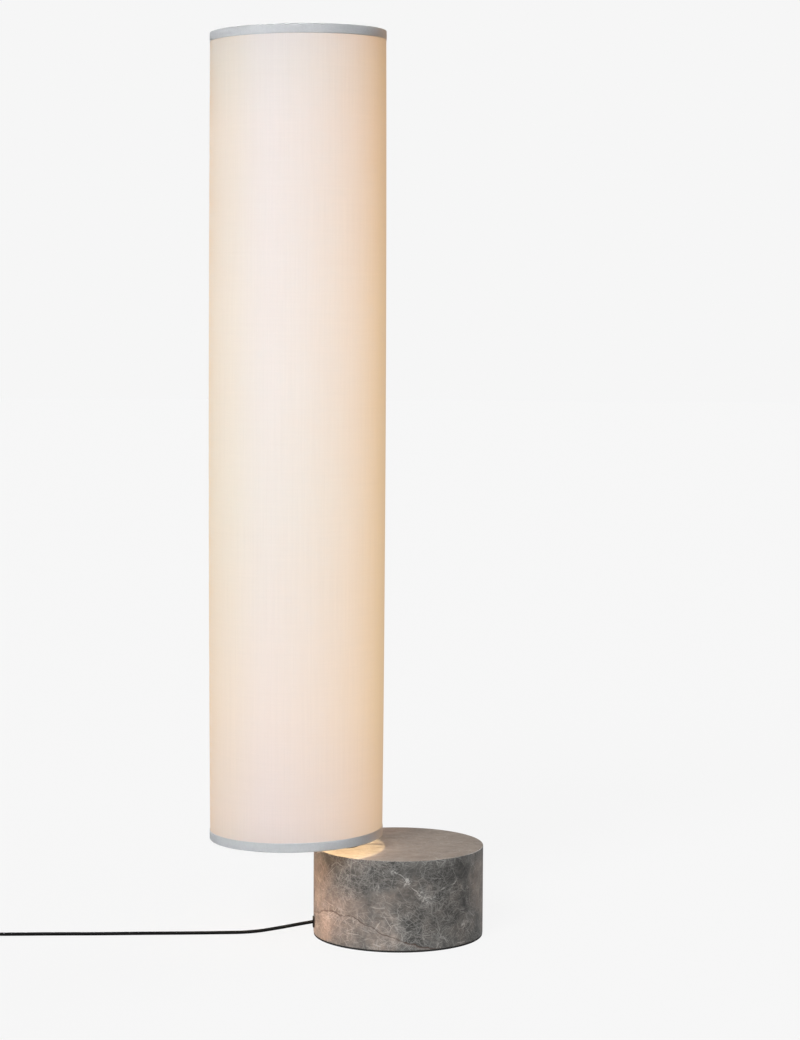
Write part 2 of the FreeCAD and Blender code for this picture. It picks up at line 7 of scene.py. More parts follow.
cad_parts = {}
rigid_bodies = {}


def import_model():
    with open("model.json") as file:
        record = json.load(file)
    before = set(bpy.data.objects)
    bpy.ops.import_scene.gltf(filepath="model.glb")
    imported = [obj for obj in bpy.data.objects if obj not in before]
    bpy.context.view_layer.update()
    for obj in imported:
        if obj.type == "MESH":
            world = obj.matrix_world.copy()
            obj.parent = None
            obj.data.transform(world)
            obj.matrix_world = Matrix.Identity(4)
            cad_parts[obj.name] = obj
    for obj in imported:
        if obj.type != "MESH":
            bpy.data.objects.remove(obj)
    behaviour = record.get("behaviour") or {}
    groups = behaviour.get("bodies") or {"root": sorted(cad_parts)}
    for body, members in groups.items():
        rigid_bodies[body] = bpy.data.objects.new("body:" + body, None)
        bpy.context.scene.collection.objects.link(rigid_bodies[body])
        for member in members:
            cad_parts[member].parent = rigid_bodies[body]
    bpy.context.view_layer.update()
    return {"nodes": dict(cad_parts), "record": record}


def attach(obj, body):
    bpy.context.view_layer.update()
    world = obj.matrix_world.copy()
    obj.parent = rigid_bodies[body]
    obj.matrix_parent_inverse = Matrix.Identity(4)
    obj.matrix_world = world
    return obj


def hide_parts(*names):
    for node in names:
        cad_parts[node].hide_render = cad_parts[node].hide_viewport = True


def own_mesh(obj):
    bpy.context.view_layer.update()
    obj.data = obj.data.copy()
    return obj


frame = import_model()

NODES = frame["nodes"]
SCENE = bpy.context.scene
LAMP = "lamp"

# ---------------------------------------------------------------- dimensions, in metres
BASE_R, BASE_TOP = 0.1140, 0.1212
SHADE_X = -0.1382
SHADE_Z0, SHADE_Z1 = 0.1363, 1.1979228        # the rims at the shade's axis
SLOPE_BOTTOM, SLOPE_TOP = 0.024, 0.018        # both climb towards the stem
R_END, R_MID = 0.1149, 0.1168
FABRIC_T, LINER_T = 0.0005, 0.0008
TRIM_H = 0.0121
BULB_Z = (0.368, 0.691, 1.014)
CORD_D = 0.0046


# ---------------------------------------------------------------- camera
def turned(v, angle):
    c, s = math.cos(angle), math.sin(angle)
    return Vector((c * v[0] - s * v[1], s * v[0] + c * v[1], v[2]))


def make_camera():
    psi, far, high, focal = math.radians(8.24676), 3.49742, 0.83233, 2631.71
    pitch, roll, yaw = 0.07823, 0.00564, -0.00012
    ahead = Vector((math.sin(yaw) * math.cos(pitch), math.cos(yaw) * math.cos(pitch), -math.sin(pitch)))
    up0 = Vector((math.sin(yaw) * math.sin(pitch), math.cos(yaw) * math.sin(pitch), math.cos(pitch)))
    right0 = Vector((math.cos(yaw), -math.sin(yaw), 0))
    right = right0 * math.cos(roll) + up0 * math.sin(roll)
    up = up0 * math.cos(roll) - right0 * math.sin(roll)
    right, up, ahead = (turned(v, -psi) for v in (right, up, ahead))
    data = bpy.data.cameras.new("camera")
    data.sensor_width = 36.0
    data.lens = focal / 1040 * 36.0
    data.clip_start, data.clip_end = 0.1, 120
    cam = bpy.data.objects.new("camera", data)
    SCENE.collection.objects.link(cam)
    m = Matrix((right, up, -ahead)).transposed().to_4x4()
    m.translation = turned((0, -far, high), -psi)
    cam.matrix_world = m
    SCENE.camera = cam


make_camera()
SCENE.view_settings.view_transform = "Standard"
SCENE.view_settings.look = "None"


# ---------------------------------------------------------------- node helpers
class Mat:
    """A small builder for procedural materials."""

    def __init__(self, name):
        self.m = bpy.data.materials.new(name)
        self.m.use_nodes = True
        self.nt = self.m.node_tree
        self.nt.nodes.clear()
        self.out = self.nt.nodes.new("ShaderNodeOutputMaterial")
        self.bsdf = self.nt.nodes.new("ShaderNodeBsdfPrincipled")
        self.nt.links.new(self.bsdf.outputs["BSDF"], self.out.inputs["Surface"])
        self.tc = self.nt.nodes.new("ShaderNodeTexCoord")
        self.P = self.tc.outputs["Object"]

    def put(self, socket, value):
        if isinstance(value, bpy.types.NodeSocket):
            self.nt.links.new(value, socket)
        elif isinstance(value, (tuple, list, Vector)):
            v = list(value)
            if len(socket.default_value) == 4 and len(v) == 3:
                v = v + [1.0]
            socket.default_value = v
        else:
            socket.default_value = value

    def set(self, **kw):
        names = {"base": "Base Color", "rough": "Roughness", "metal": "Metallic", "spec": "Specular IOR Level", "normal": "Normal",
                 "coat": "Coat Weight", "coat_rough": "Coat Roughness", "sheen": "Sheen Weight", "sheen_rough": "Sheen Roughness",
                 "emit": "Emission Color", "glow": "Emission Strength", "trans": "Transmission Weight", "ior": "IOR",
                 "sub": "Subsurface Weight"}
        for k, v in kw.items():
            self.put(self.bsdf.inputs[names[k]], v)
        return self

    def node(self, kind, **props):
        n = self.nt.nodes.new(kind)
        for k, v in props.items():
            setattr(n, k, v)
        return n

    def math(self, op, a, b=0.0, c=None, clamp=False):
        n = self.node("ShaderNodeMath", operation=op, use_clamp=clamp)
        self.put(n.inputs[0], a)
        self.put(n.inputs[1], b)
        if c is not None:
            self.put(n.inputs[2], c)
        return n.outputs[0]

    def vec(self, op, a, b=(0, 0, 0), scale=None):
        n = self.node("ShaderNodeVectorMath", operation=op)
        self.put(n.inputs[0], a)
        if op not in ("LENGTH", "NORMALIZE", "SCALE"):
            self.put(n.inputs[1], b)
        if scale is not None:
            self.put(n.inputs["Scale"], scale)
        return n.outputs["Value"] if op in ("LENGTH", "DISTANCE", "DOT_PRODUCT") else n.outputs["Vector"]

    def xyz(self, v):
        n = self.node("ShaderNodeSeparateXYZ")
        self.put(n.inputs[0], v)
        return n.outputs[0], n.outputs[1], n.outputs[2]

    def join(self, x, y, z):
        n = self.node("ShaderNodeCombineXYZ")
        for i, v in enumerate((x, y, z)):
            self.put(n.inputs[i], v)
        return n.outputs[0]

    def noise(self, scale, detail=2.0, rough=0.5, vector=None, distort=0.0, colour=False):
        n = self.node("ShaderNodeTexNoise")
        self.put(n.inputs["Vector"], self.P if vector is None else vector)
        self.put(n.inputs["Scale"], scale)
        self.put(n.inputs["Detail"], detail)
        self.put(n.inputs["Roughness"], rough)
        self.put(n.inputs["Distortion"], distort)
        return n.outputs["Color"] if colour else n.outputs[0]

    def cells(self, scale, vector=None, feature="F1", randomness=1.0):
        n = self.node("ShaderNodeTexVoronoi", feature=feature)
        self.put(n.inputs["Vector"], self.P if vector is None else vector)
        self.put(n.inputs["Scale"], scale)
        self.put(n.inputs["Randomness"], randomness)
        return n.outputs["Distance"]

    def map(self, value, a, b, c=0.0, d=1.0, smooth=False):
        n = self.node("ShaderNodeMapRange", interpolation_type="SMOOTHSTEP" if smooth else "LINEAR")
        n.clamp = True
        for i, v in enumerate((value, a, b, c, d)):
            self.put(n.inputs[i], v)
        return n.outputs[0]

    def place(self, scale=(1, 1, 1), rotation=(0, 0, 0), location=(0, 0, 0), vector=None):
        n = self.node("ShaderNodeMapping")
        self.put(n.inputs["Vector"], self.P if vector is None else vector)
        self.put(n.inputs["Location"], location)
        self.put(n.inputs["Rotation"], rotation)
        self.put(n.inputs["Scale"], scale)
        return n.outputs[0]

    def mix(self, t, a, b, mode="MIX"):
        n = self.node("ShaderNodeMix", data_type="RGBA", blend_type=mode)
        n.clamp_factor = True
        self.put(n.inputs[0], t)
        self.put(n.inputs[6], a)
        self.put(n.inputs[7], b)
        return n.outputs[2]

    def ramp(self, t, stops, mode="LINEAR"):
        n = self.node("ShaderNodeValToRGB")
        n.color_ramp.interpolation = mode
        e = n.color_ramp.elements
        while len(e) < len(stops):
            e.new(0.5)
        for el, (p, c) in zip(e, stops):
            el.position = p
            el.color = (*c, 1.0) if len(c) == 3 else c
        self.put(n.inputs[0], t)
        return n.outputs[0]

    def curve(self, t, points):
        n = self.node("ShaderNodeFloatCurve")
        c = n.mapping.curves[0]
        while len(c.points) < len(points):
            c.points.new(0.5, 0.5)
        for p, (x, y) in zip(c.points, points):
            p.location = (x, y)
        n.mapping.update()
        self.put(n.inputs["Value"], t)
        return n.outputs[0]

    def bump(self, height, strength=0.3, distance=0.001, normal=None):
        n = self.node("ShaderNodeBump")
        self.put(n.inputs["Strength"], strength)
        self.put(n.inputs["Distance"], distance)
        self.put(n.inputs["Height"], height)
        if normal is not None:
            self.put(n.inputs["Normal"], normal)
        return n.outputs[0]

    def around(self, cx=0.0):
        """(turns, height): the angle about an upright axis in turns, 0 towards -Y and rising towards +X, broken at +Y."""
        x, y, z = self.xyz(self.P)
        a = self.math("ARCTAN2", self.math("SUBTRACT", x, cx), self.math("MULTIPLY", y, -1.0))
        return self.math("DIVIDE", a, 2 * math.pi), z


# ---------------------------------------------------------------- materials
def marble():
    g = Mat("stone")
    warp = g.vec("SCALE", g.vec("SUBTRACT", g.noise(26, 4, 0.6, colour=True), (0.5, 0.5, 0.5)), scale=0.022)
    P1 = g.vec("ADD", g.P, warp)
    warp2 = g.vec("SCALE", g.vec("SUBTRACT", g.noise(110, 3, 0.6, colour=True), (0.5, 0.5, 0.5)), scale=0.006)
    P2 = g.vec("ADD", P1, warp2)
    PS = g.vec("ADD", g.P, g.vec("SCALE", warp2, scale=0.18))
    x, y, z = g.xyz(P1)

    def blob(angle, height, radius, soft=0.6):
        a = math.radians(angle)
        d = g.vec("DISTANCE", P1, (BASE_R * math.sin(a), -BASE_R * math.cos(a), height))
        return g.map(d, radius * (1 - soft), radius, 1.0, 0.0, smooth=True)

    # clouds of darker and warmer stone
    clouds = g.noise(17, 7, 0.62, vector=P1)
    fine = g.noise(75, 6, 0.7, vector=P2)
    mottle = g.noise(46, 5, 0.62, vector=g.vec("ADD", P2, (0.6, 4.4, 2.1)))
    dark = g.map(clouds, 0.40, 0.62, 0.0, 0.75)
    for spot in ((33, 0.067, 0.044), (24, 0.090, 0.036), (24, 0.045, 0.036), (-4, 0.070, 0.034), (2, 0.048, 0.026), (-16, 0.104, 0.034), (36, 0.100, 0.028),
                 (-31, 0.083, 0.012), (-44, 0.101, 0.013), (150, 0.06, 0.06), (205, 0.09, 0.05), (265, 0.05, 0.05)):
        dark = g.math("MAXIMUM", dark, blob(*spot))
    warm = g.map(g.noise(11, 5, 0.6, vector=g.vec("ADD", P1, (3.1, 1.7, 0.4))), 0.47, 0.66)
    for spot in ((-52, 0.030, 0.062), (-40, 0.050, 0.040), (-20, 0.022, 0.034), (-78, 0.08, 0.05), (66, 0.075, 0.055), (88, 0.06, 0.05), (120, 0.02, 0.05), (-130, 0.03, 0.06)):
        warm = g.math("MAXIMUM", warm, blob(*spot))
    dark = g.math("MULTIPLY", dark, g.math("SUBTRACT", 1.0, g.math("MULTIPLY", warm, 0.75)))
    base = g.mix(warm, (0.154, 0.150, 0.143), (0.268, 0.226, 0.198))
    base = g.mix(g.map(mottle, 0.50, 0.60, 0.0, 0.35), base, (0.113, 0.117, 0.121))
    base = g.mix(dark, base, (0.074, 0.072, 0.069))
    base = g.mix(g.map(fine, 0.30, 0.75), g.mix(1.0, base, (0.58, 0.58, 0.58), "MULTIPLY"), g.mix(1.0, base, (1.38, 1.35, 1.31), "MULTIPLY"))

    # a net of fine pale veins, broken and of several sizes
    def net(scale, width, vector):
        return g.map(g.cells(scale, vector, "DISTANCE_TO_EDGE"), 0.0, width, 1.0, 0.0)

    def strokes(rotation, size, width, location):
        n = g.noise(1.0, 3, 0.55, vector=g.place(size, rotation, location, P1))
        return g.map(g.math("ABSOLUTE", g.math("SUBTRACT", n, 0.5)), 0.0, width, 1.0, 0.0)

    def scratches(scale, width, shift, share):
        """Short straight veins, one through each cell, every one at its own slant and strength."""
        n = g.node("ShaderNodeTexVoronoi", feature="F1")
        at = g.vec("SCALE", g.vec("ADD", PS, shift), scale=scale)
        g.put(n.inputs["Vector"], at)
        g.put(n.inputs["Scale"], 1.0)
        g.put(n.inputs["Randomness"], 1.0)
        slant = g.vec("NORMALIZE", g.vec("SUBTRACT", n.outputs["Color"], (0.5, 0.5, 0.5)))
        off = g.math("ABSOLUTE", g.vec("DOT_PRODUCT", g.vec("SUBTRACT", at, n.outputs["Position"]), slant))
        line = g.map(off, 0.0, width * scale, 1.0, 0.0)
        ends = g.map(n.outputs["Distance"], 0.45, 0.75, 1.0, 0.0)
        some = g.map(g.xyz(n.outputs["Color"])[1], 1.0 - share, 1.1 - share, 0.0, 1.0)
        return g.math("MULTIPLY", g.math("MULTIPLY", line, ends), some)

    patchy = g.map(g.noise(30, 4, 0.6, vector=g.vec("ADD", g.P, (1.3, 0.2, 5.0))), 0.38, 0.62, 0.15, 1.0)
    patchy2 = g.map(g.noise(22, 4, 0.6, vector=g.vec("ADD", g.P, (4.3, 2.2, 1.0))), 0.40, 0.62, 0.1, 1.0)
    veins = g.math("MULTIPLY", net(46, 0.026, P2), g.math("MULTIPLY", patchy, 0.55))
    veins = g.math("MAXIMUM", veins, g.math("MULTIPLY", net(95, 0.040, P2), g.math("MULTIPLY", patchy2, 0.4)))
    thin_out = g.math("MULTIPLY", g.math("ADD", g.math("MULTIPLY", patchy, 0.55), 0.45), g.math("SUBTRACT", 1.0, g.math("MULTIPLY", dark, 0.6)))
    for scale, width, shift, share, power in ((58, 0.00060, (0, 0, 0), 0.60, 0.95), (75, 0.00055, (2, 5, 1), 0.60, 0.90), (115, 0.00050, (4, 1, 7), 0.60, 0.80),
                                              (150, 0.00048, (9, 3, 2), 0.55, 0.72)):
        veins = g.math("MAXIMUM", veins, g.math("MULTIPLY", scratches(scale, width, shift, share), g.math("MULTIPLY", thin_out, power)))
    veins = g.math("MAXIMUM", veins, g.math("MULTIPLY", strokes((0.2, 0.75, 0.1), (42, 42, 260), 0.014, (0, 0, 0)), g.math("MULTIPLY", patchy, 0.6)))
    veins = g.math("MAXIMUM", veins, g.math("MULTIPLY", strokes((-0.1, -0.80, 0.3), (48, 48, 300), 0.014, (5, 2, 0)), g.math("MULTIPLY", patchy2, 0.6)))

    # two drawn veins round the side: a pale broken one and a brown one
    turn, height = g.around()
    wob = g.math("MULTIPLY", g.math("SUBTRACT", g.noise(60, 4, 0.6), 0.5), 0.010)
    high = g.math("DIVIDE", g.math("ADD", height, wob), 0.125)
    t01 = g.math("ADD", turn, 0.5)

    def drawn(points, width, core=0.0):
        f = g.curve(t01, [(0.5 + a / 360.0, h / 125.0) for a, h in points])
        d = g.math("ABSOLUTE", g.math("SUBTRACT", high, f))
        return g.map(d, core / 0.125, width / 0.125, 1.0, 0.0)

    pale = [(-180, 124), (-150, 118), (-110, 96), (-84, 113), (-60, 124), (-35, 125), (-15.0, 121.0), (-12.5, 107.6), (-7.5, 104.3), (-3.2, 94.2), (0.8, 85.6), (6.1, 76.7),
            (11.0, 71.3), (16.7, 78.7), (22.7, 82.5), (28.8, 84.5), (34.3, 91.6), (40, 124), (66, 125), (100, 122), (130, 104), (155, 118), (180, 124)]
    brown = [(-180, 60), (-150, 52), (-120, 40), (-84.8, 33.0), (-67.6, 42.0), (-57.0, 44.3), (-48.5, 42.9), (-41.1, 43.2), (-37.1, 40.8), (-31.4, 36.1),
             (-26.0, 31.9), (-19.1, 24.4), (-12.3, 19.7), (-5.6, 14.8), (2.0, 11.2), (8.1, 7.1), (22, 2), (45, 0), (110, 4), (140, 30), (180, 60)]
    side = g.map(g.math("ABSOLUTE", g.xyz(g.node("ShaderNodeNewGeometry").outputs["Normal"])[2]), 0.5, 0.8, 1.0, 0.0)
    broken = g.map(g.noise(70, 3, 0.6, vector=g.vec("ADD", g.P, (7.7, 1.1, 3.0))), 0.44, 0.58, 0.05, 0.85)
    veins = g.math("MAXIMUM", veins, g.math("MULTIPLY", g.math("MULTIPLY", drawn(pale, 0.0012), broken), side))
    spots = 0.0
    for angle, h, r in ((-3.2, 0.094, 0.0085), (6.1, 0.0767, 0.0075), (11, 0.0713, 0.008), (15.5, 0.0735, 0.007), (-12.5, 0.1065, 0.006), (-22, 0.085, 0.006), (40, 0.030, 0.006),
                        (-140, 0.07, 0.008), (130, 0.08, 0.008)):
        spots = g.math("MAXIMUM", spots, blob(angle, h, r * 1.2, 0.9))
    specks = g.map(g.noise(330, 3, 0.6), 0.47, 0.56)
    veins = g.math("MAXIMUM", veins, g.math("MULTIPLY", g.math("MULTIPLY", spots, specks), 0.95))

    top = g.math("SUBTRACT", 1.0, side)
    strength = g.math("MULTIPLY", g.math("MULTIPLY", veins, 0.88), g.math("SUBTRACT", 1.0, g.math("MULTIPLY", top, 0.40)))
    paler = g.mix(warm, (0.54, 0.525, 0.495), (0.59, 0.53, 0.48))
    streaks = g.noise(1.0, 5, 0.7, vector=g.place((60, 150, 60), (0, 0, 0.25), vector=P1))
    topbase = g.mix(g.map(g.noise(34, 6, 0.65, vector=g.place((1, 1.9, 1), vector=P1)), 0.3, 0.7), (0.225, 0.175, 0.141), (0.318, 0.258, 0.216))
    topbase = g.mix(g.map(streaks, 0.34, 0.66), g.mix(1.0, topbase, (0.80, 0.80, 0.80), "MULTIPLY"), g.mix(1.0, topbase, (1.14, 1.14, 1.14), "MULTIPLY"))
    # painted light: the top is paler towards the shade, where the shade's glow falls, and darker on its other side
    topbase = g.mix(g.map(g.math("MULTIPLY_ADD", y, 0.12, x), 0.0, 0.11), topbase, g.mix(1.0, topbase, (0.78, 0.80, 0.80), "MULTIPLY"))
    # painted light: the top is made paler close round the shade, standing in for its glow and lifting the shade's
    # shadow there
    painted_glow_near_shade = g.map(g.vec("DISTANCE", P1, (SHADE_X, 0.0, BASE_TOP)), 0.122, 0.160, 1.0, 0.0, smooth=True)
    topbase = g.mix(painted_glow_near_shade, topbase, g.mix(1.0, topbase, (1.17, 1.15, 1.13), "MULTIPLY"))
    # painted light: a paler patch on the back of the top brightens where the shade casts its shadow
    painted_light_behind_shade = g.map(g.vec("DISTANCE", P1, (-0.008, 0.100, BASE_TOP)), 0.018, 0.055, 1.0, 0.0, smooth=True)
    topbase = g.mix(painted_light_behind_shade, topbase, g.mix(1.0, topbase, (1.36, 1.24, 1.18), "MULTIPLY"))
    base = g.mix(g.math("MULTIPLY", top, 0.88), base, topbase)
    # the brown vein has a paler stone along its lower side
    beside = g.math("MULTIPLY", drawn([(a, h - 2.2) for a, h in brown], 0.0032), side)
    base = g.mix(g.math("MULTIPLY", beside, 0.45), base, (0.30, 0.255, 0.225))
    base = g.mix(strength, base, paler)
    seam = g.math("MULTIPLY", g.math("MULTIPLY", drawn(brown, 0.0014, 0.0003), side), g.map(g.noise(90, 3, 0.6), 0.3, 0.55, 0.35, 1.0))
    base = g.mix(g.math("MULTIPLY", seam, 0.85), base, (0.082, 0.053, 0.042))
    g.set(base=base, spec=0.42)
    rough = g.map(g.math("ADD", g.math("MULTIPLY", veins, 0.4), g.noise(140, 4, 0.6)), 0.3, 1.0, 0.30, 0.52)
    g.set(rough=g.math("MULTIPLY_ADD", top, 0.10, rough))
    h = g.math("SUBTRACT", g.math("MULTIPLY", g.noise(420, 3, 0.6), 0.5), g.math("MULTIPLY", seam, 1.2))
    g.set(normal=g.bump(h, 0.16, 0.0004))
    return g.m


def shade_cloth():
    g = Mat("shade_fabric")
    turn, z = g.around(SHADE_X)
    s = g.math("MULTIPLY", turn, 2 * math.pi * R_END)
    warp_v = g.join(g.math("MULTIPLY", s, 2100.0), 0.0, g.math("MULTIPLY", z, 14.0))      # upright threads
    weft_v = g.join(g.math("MULTIPLY", s, 16.0), 5.0, g.math("MULTIPLY", z, 1900.0))
    warp = g.noise(1.0, 2, 0.6, vector=warp_v)
    weft = g.noise(1.0, 2, 0.6, vector=weft_v)
    slub_v = g.noise(1.0, 3, 0.6, vector=g.join(g.math("MULTIPLY", s, 420.0), 3.0, g.math("MULTIPLY", z, 5.0)))
    slub_h = g.noise(1.0, 3, 0.6, vector=g.join(g.math("MULTIPLY", s, 6.0), 9.0, g.math("MULTIPLY", z, 380.0)))
    threads = g.math("ADD", g.math("ADD", g.math("MULTIPLY", warp, 0.34), g.math("MULTIPLY", weft, 0.22)),
                     g.math("ADD", g.math("MULTIPLY", slub_v, 0.30), g.math("MULTIPLY", slub_h, 0.14)))
    tone = g.map(threads, 0.30, 0.70, 0.955, 1.045)
    # painted glow from the lamp inside: even over the height, less at both ends, and less beside the stem, where a
    # painted shadow of the stem lies
    dx = g.math("SUBTRACT", g.xyz(g.P)[0], SHADE_X)
    low = g.math("MULTIPLY_ADD", dx, SLOPE_BOTTOM, SHADE_Z0)
    high = g.math("MULTIPLY_ADD", dx, SLOPE_TOP, SHADE_Z1)
    up = g.map(z, low, high)
    glow = g.ramp(up, [
        (0.0, (0.650, 0.410, 0.205)), (0.04, (0.735, 0.470, 0.245)), (0.17, (0.787, 0.518, 0.247)), (0.42, (0.800, 0.510, 0.240)),
        (0.66, (0.785, 0.488, 0.210)), (0.88, (0.726, 0.425, 0.170)), (0.955, (0.655, 0.375, 0.135)), (1.0, (0.590, 0.320, 0.110))])
    # painted shadow of the stem: a dim band in the glow on the stem's side
    off = g.math("MULTIPLY", g.math("SUBTRACT", turn, 0.25), 12.0)
    stem = g.math("MULTIPLY", g.math("EXPONENT", g.math("MULTIPLY", g.math("MULTIPLY", off, off), -1.0)), 0.25)
    # painted shade: the glow is a little dimmer on the side away from the stem, most near the top
    off = g.math("MULTIPLY", g.math("ADD", turn, 0.25), 10.0)
    far = g.math("MULTIPLY", g.math("EXPONENT", g.math("MULTIPLY", g.math("MULTIPLY", off, off), -1.0)),
                 g.map(up, 0.86, 1.0, 0.06, 0.16, smooth=True))
    lap = g.math("GREATER_THAN", g.math("ABSOLUTE", turn), 0.5 - 0.0065)
    level = g.math("MULTIPLY", g.math("SUBTRACT", g.math("SUBTRACT", 1.0, stem), far), g.math("SUBTRACT", 1.0, g.math("MULTIPLY", lap, 0.16)))
    level = g.math("MULTIPLY", level, tone)
    emit = g.mix(1.0, glow, g.join(level, level, level), "MULTIPLY")
    # painted shading: the cloth's colour is darker low down and paler towards the top
    body = g.ramp(up, [
        (0.0, (0.085, 0.235, 0.405)), (0.17, (0.113, 0.258, 0.450)), (0.42, (0.098, 0.315, 0.515)), (0.66, (0.135, 0.350, 0.575)),
        (0.88, (0.168, 0.385, 0.595)), (1.0, (0.205, 0.420, 0.610))])
    # painted shading: the side away from the stem is given a yellower, less blue colour
    painted_far_tint = g.map(g.math("MULTIPLY", turn, -360.0), 22.0, 58.0, 0.0, 1.0, smooth=True)
    body = g.mix(painted_far_tint, body, g.mix(1.0, body, (0.99, 0.965, 0.885), "MULTIPLY"))
    base = g.mix(1.0, body, g.join(tone, tone, tone), "MULTIPLY")
    g.set(base=base, emit=emit, glow=1.0, rough=0.95, spec=0.05)
    weave = g.math("ADD", g.math("MULTIPLY", warp, 0.6), g.math("MULTIPLY", weft, 0.4))
    g.set(normal=g.bump(g.math("ADD", weave, g.math("MULTIPLY", slub_v, 0.8)), 0.25, 0.0002))
    return g.m


def tape():
    g = Mat("trim_tape")
    turn, z = g.around(SHADE_X)
    s = g.math("MULTIPLY", turn, 2 * math.pi * R_END)
    ribs = g.math("SINE", g.math("MULTIPLY", s, 2 * math.pi / 0.0009))
    rows = g.math("SINE", g.math("MULTIPLY", z, 2 * math.pi / 0.0011))
    soft = g.noise(320, 3, 0.6)
    tone = g.math("ADD", g.map(g.math("MULTIPLY", ribs, rows), -1.0, 1.0, 0.965, 1.02), g.map(soft, 0.3, 0.7, -0.035, 0.035))
    # painted shade: the tape is made darker low down, so the bottom tape is darker than the top one
    tone = g.math("MULTIPLY", tone, g.map(z, 0.3, 0.9, 0.90, 1.0))
    # a little of the lamp's light comes through where the tape is lit least from outside
    through = g.map(g.math("MULTIPLY", turn, 360.0), 36.0, 76.0, 0.0, 1.0, smooth=True)
    g.set(base=g.mix(1.0, (0.612, 0.628, 0.650), g.join(tone, tone, tone), "MULTIPLY"), rough=0.85, spec=0.2, sheen=0.12, sheen_rough=0.5)
    g.set(emit=g.mix(through, (0.0, 0.0, 0.0), (0.17, 0.095, 0.04)), glow=1.0)
    g.set(normal=g.bump(g.math("ADD", g.math("MULTIPLY", ribs, rows), soft), 0.22, 0.0002))
    return g.m


def inner_sheet():
    g = Mat("shade_liner")
    n = g.noise(60, 4, 0.6)
    tone = g.map(n, 0.3, 0.7, 0.94, 1.03)
    turn, z = g.around(SHADE_X)
    lap = g.math("GREATER_THAN", g.math("ABSOLUTE", turn), 0.5 - 0.0065)
    tone = g.math("MULTIPLY", tone, g.math("SUBTRACT", 1.0, g.math("MULTIPLY", lap, 0.12)))
    g.set(base=g.mix(1.0, (0.37, 0.352, 0.39), g.join(tone, tone, tone), "MULTIPLY"), rough=0.8, spec=0.2)
    g.set(normal=g.bump(g.noise(900, 2, 0.5), 0.1, 0.0001))
    return g.m


def speckled(name, base, rough, grain=1400.0, depth=0.0001, metal=0.0, spec=0.5, vary=0.12, wear=0.0, strength=0.3):
    """Paint, plastic or rubber: a fine grain in the surface, patchy roughness and a little colour variation."""
    g = Mat(name)
    patch = g.noise(38, 4, 0.6)
    tone = g.map(patch, 0.3, 0.7, 1 - vary, 1 + vary)
    col = g.mix(1.0, base, g.join(tone, tone, tone), "MULTIPLY")
    if wear:
        col = g.mix(g.map(g.noise(210, 5, 0.7), 0.62, 0.78, 0.0, wear), col, tuple(min(1.0, c * 2.5 + 0.03) for c in base))
    g.set(base=col, metal=metal, spec=spec)
    g.set(rough=g.map(g.noise(90, 4, 0.6), 0.25, 0.75, max(0.05, rough - 0.07), min(1.0, rough + 0.07)))
    g.set(normal=g.bump(g.noise(grain, 2, 0.5), strength, depth))
    return g.m


def brushed(name, base, rough, direction=(1, 1, 60)):
    g = Mat(name)
    lines = g.noise(1.0, 3, 0.6, vector=g.place(tuple(60 * d for d in direction)))
    tone = g.map(lines, 0.3, 0.7, 0.86, 1.06)
    g.set(base=g.mix(1.0, base, g.join(tone, tone, tone), "MULTIPLY"), metal=1.0)
    g.set(rough=g.map(g.math("ADD", g.math("MULTIPLY", lines, 0.5), g.math("MULTIPLY", g.noise(120, 4, 0.6), 0.5)), 0.3, 0.7, rough - 0.08, rough + 0.12))
    g.set(normal=g.bump(lines, 0.12, 0.0001))
    return g.m


def lit_glass():
    g = Mat("bulb_glass")
    x, y, z = g.xyz(g.P)
    grain = g.map(g.noise(300, 3, 0.6), 0.3, 0.7, 0.96, 1.04)
    # the frosted envelope is brightest round its lamp and darker towards its neck
    low = None
    for c in BULB_Z:
        d = g.vec("DISTANCE", g.P, (SHADE_X, 0.0, c - 0.004))
        one = g.map(d, 0.028, 0.052, 1.0, 0.35, smooth=True)
        low = one if low is None else g.math("MAXIMUM", low, one)
    level = g.math("MULTIPLY", low, grain)
    g.set(base=(0.9, 0.88, 0.84), rough=0.35, emit=g.mix(1.0, (1.0, 0.80, 0.52), g.join(level, level, level), "MULTIPLY"), glow=2.2)
    g.set(normal=g.bump(g.noise(1500, 2, 0.5), 0.1, 0.0001))
    return g.m


def webbing():
    g = Mat("tie")
    loops = g.cells(1500, feature="F1")
    fuzz = g.noise(900, 4, 0.7)
    g.set(base=g.mix(g.map(fuzz, 0.3, 0.7), (0.012, 0.012, 0.012), (0.04, 0.04, 0.042)), rough=0.95, spec=0.1, sheen=0.3, sheen_rough=0.6)
    g.set(normal=g.bump(g.math("ADD", loops, fuzz), 0.7, 0.0006))
    return g.m


def sheath():
    g = Mat("cord")
    g.set(base=g.mix(g.map(g.noise(160, 4, 0.6), 0.3, 0.7), (0.0040, 0.0040, 0.0042), (0.0075, 0.0074, 0.0072)), spec=0.07)
    g.set(rough=g.map(g.noise(240, 3, 0.6), 0.3, 0.7, 0.46, 0.62))
    g.set(normal=g.bump(g.noise(1600, 2, 0.5), 0.18, 0.0001))
    return g.m


